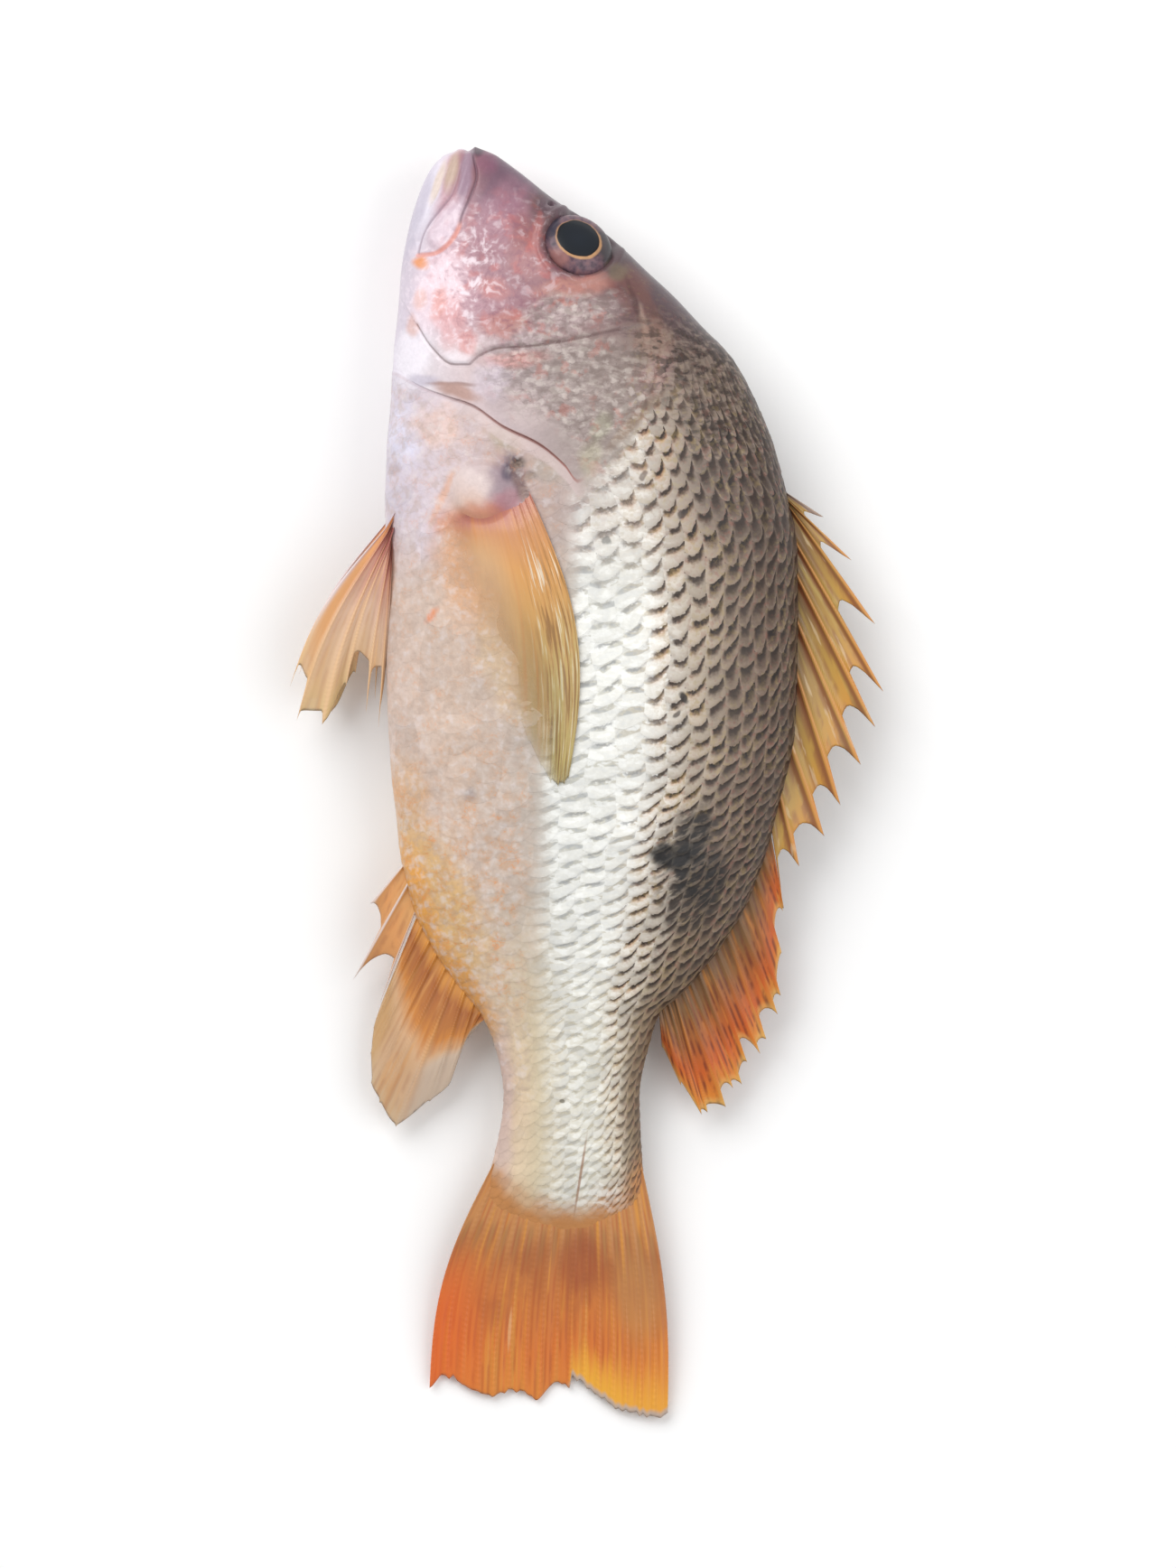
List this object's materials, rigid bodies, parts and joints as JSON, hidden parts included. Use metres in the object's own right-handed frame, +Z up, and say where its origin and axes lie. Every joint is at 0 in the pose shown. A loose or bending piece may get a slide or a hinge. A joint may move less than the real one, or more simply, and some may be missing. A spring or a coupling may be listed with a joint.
{
  "type": "whole raw fish",
  "caption": "Whole raw snapper-shaped fish lying on its right side, scaled silver and brown body with a dark spot near the tail, closed mouth, round eye, and spiny orange fins.",
  "frame": {"origin": "on the surface that the fish lies on, under the centre of its box", "axes": "+Y from the tail to the snout, +X from the belly to the back, +Z up from the surface, out of the left flank"},
  "size_m": [0.14, 0.3, 0.0413],
  "materials": {
    "skin": "wet scaled fish skin, silver flank, brown back, pink and orange belly, glossy",
    "fin": "thin orange fin skin between bony rays, half clear towards the edge, moist",
    "eye": "clear wet eye with a black pupil and a thin golden brown ring"
  },
  "bodies": {
    "root": {"fish": "skin"}
  },
  "joints": []
}
